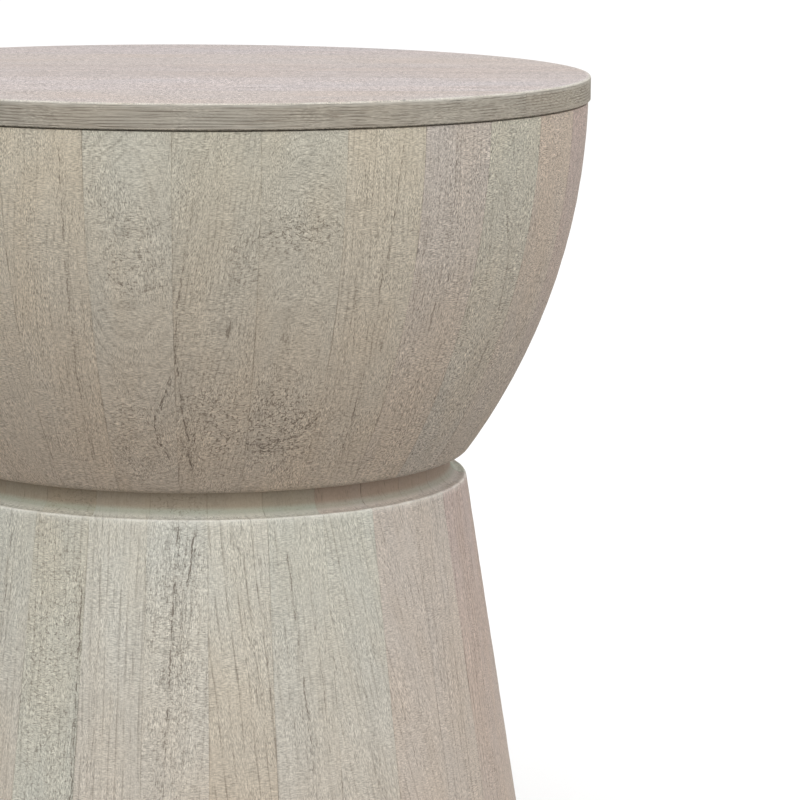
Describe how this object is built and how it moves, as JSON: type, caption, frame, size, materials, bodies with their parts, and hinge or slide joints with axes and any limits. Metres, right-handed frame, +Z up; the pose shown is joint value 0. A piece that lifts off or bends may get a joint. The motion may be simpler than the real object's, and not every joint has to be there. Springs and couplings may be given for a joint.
{
  "type": "drum side table",
  "caption": "Hourglass drum side table of whitewashed staves: a hollow bowl on a flared base, closed by a loose round lid that lifts off.",
  "frame": {"origin": "on the floor, under the middle of the table", "axes": "+Z up along the table's axis; the pictured side looks along -Y; the lid boards run along X"},
  "size_m": [0.457, 0.457, 0.508],
  "materials": {
    "whitewashed_wood": "sandblasted and whitewashed, matt",
    "plain_wood": "bare sawn hardwood",
    "plywood": "bare plywood",
    "screw_steel": "zinc plated",
    "glide_nylon": "moulded, matt"
  },
  "bodies": {
    "table": {"bowl_stave_01": "whitewashed_wood", "bowl_stave_02": "whitewashed_wood", "bowl_stave_03": "whitewashed_wood", "bowl_stave_04": "whitewashed_wood", "bowl_stave_05": "whitewashed_wood", "bowl_stave_06": "whitewashed_wood", "bowl_stave_07": "whitewashed_wood", "bowl_stave_08": "whitewashed_wood", "bowl_stave_09": "whitewashed_wood", "bowl_stave_10": "whitewashed_wood", "bowl_stave_11": "whitewashed_wood", "bowl_stave_12": "whitewashed_wood", "bowl_stave_13": "whitewashed_wood", "bowl_stave_14": "whitewashed_wood", "bowl_stave_15": "whitewashed_wood", "bowl_stave_16": "whitewashed_wood", "bowl_stave_17": "whitewashed_wood", "bowl_stave_18": "whitewashed_wood", "bowl_stave_19": "whitewashed_wood", "bowl_stave_20": "whitewashed_wood", "bowl_stave_21": "whitewashed_wood", "bowl_stave_22": "whitewashed_wood", "bowl_stave_23": "whitewashed_wood", "bowl_stave_24": "whitewashed_wood", "bowl_stave_25": "whitewashed_wood", "bowl_stave_26": "whitewashed_wood", "bowl_stave_27": "whitewashed_wood", "bowl_stave_28": "whitewashed_wood", "bowl_stave_29": "whitewashed_wood", "bowl_stave_30": "whitewashed_wood", "base_stave_pair_01": "whitewashed_wood", "base_stave_pair_02": "whitewashed_wood", "base_stave_pair_03": "whitewashed_wood", "base_stave_pair_04": "whitewashed_wood", "base_stave_pair_05": "whitewashed_wood", "base_stave_pair_06": "whitewashed_wood", "base_stave_pair_07": "whitewashed_wood", "base_stave_pair_08": "whitewashed_wood", "base_stave_pair_09": "whitewashed_wood", "base_stave_pair_10": "whitewashed_wood", "base_stave_pair_11": "whitewashed_wood", "base_stave_pair_12": "whitewashed_wood", "base_stave_pair_13": "whitewashed_wood", "base_stave_pair_14": "whitewashed_wood", "base_stave_pair_15": "whitewashed_wood", "bowl_floor": "plywood", "base_top_disc": "plywood", "foot_ring": "plywood", "waist_screws": "screw_steel", "foot_glides": "glide_nylon"},
    "lid": {"lid_board_1": "whitewashed_wood", "lid_board_2": "whitewashed_wood", "lid_board_3": "whitewashed_wood", "lid_board_4": "whitewashed_wood", "lid_board_5": "whitewashed_wood", "lid_batten_left": "plain_wood", "lid_batten_right": "plain_wood", "lid_screws": "screw_steel"}
  },
  "joints": [
    {"name": "lid_lift", "type": "slide", "parent": "table", "child": "lid", "axis": [0, 0, 1], "range_m": [0, 0.25]}
  ]
}
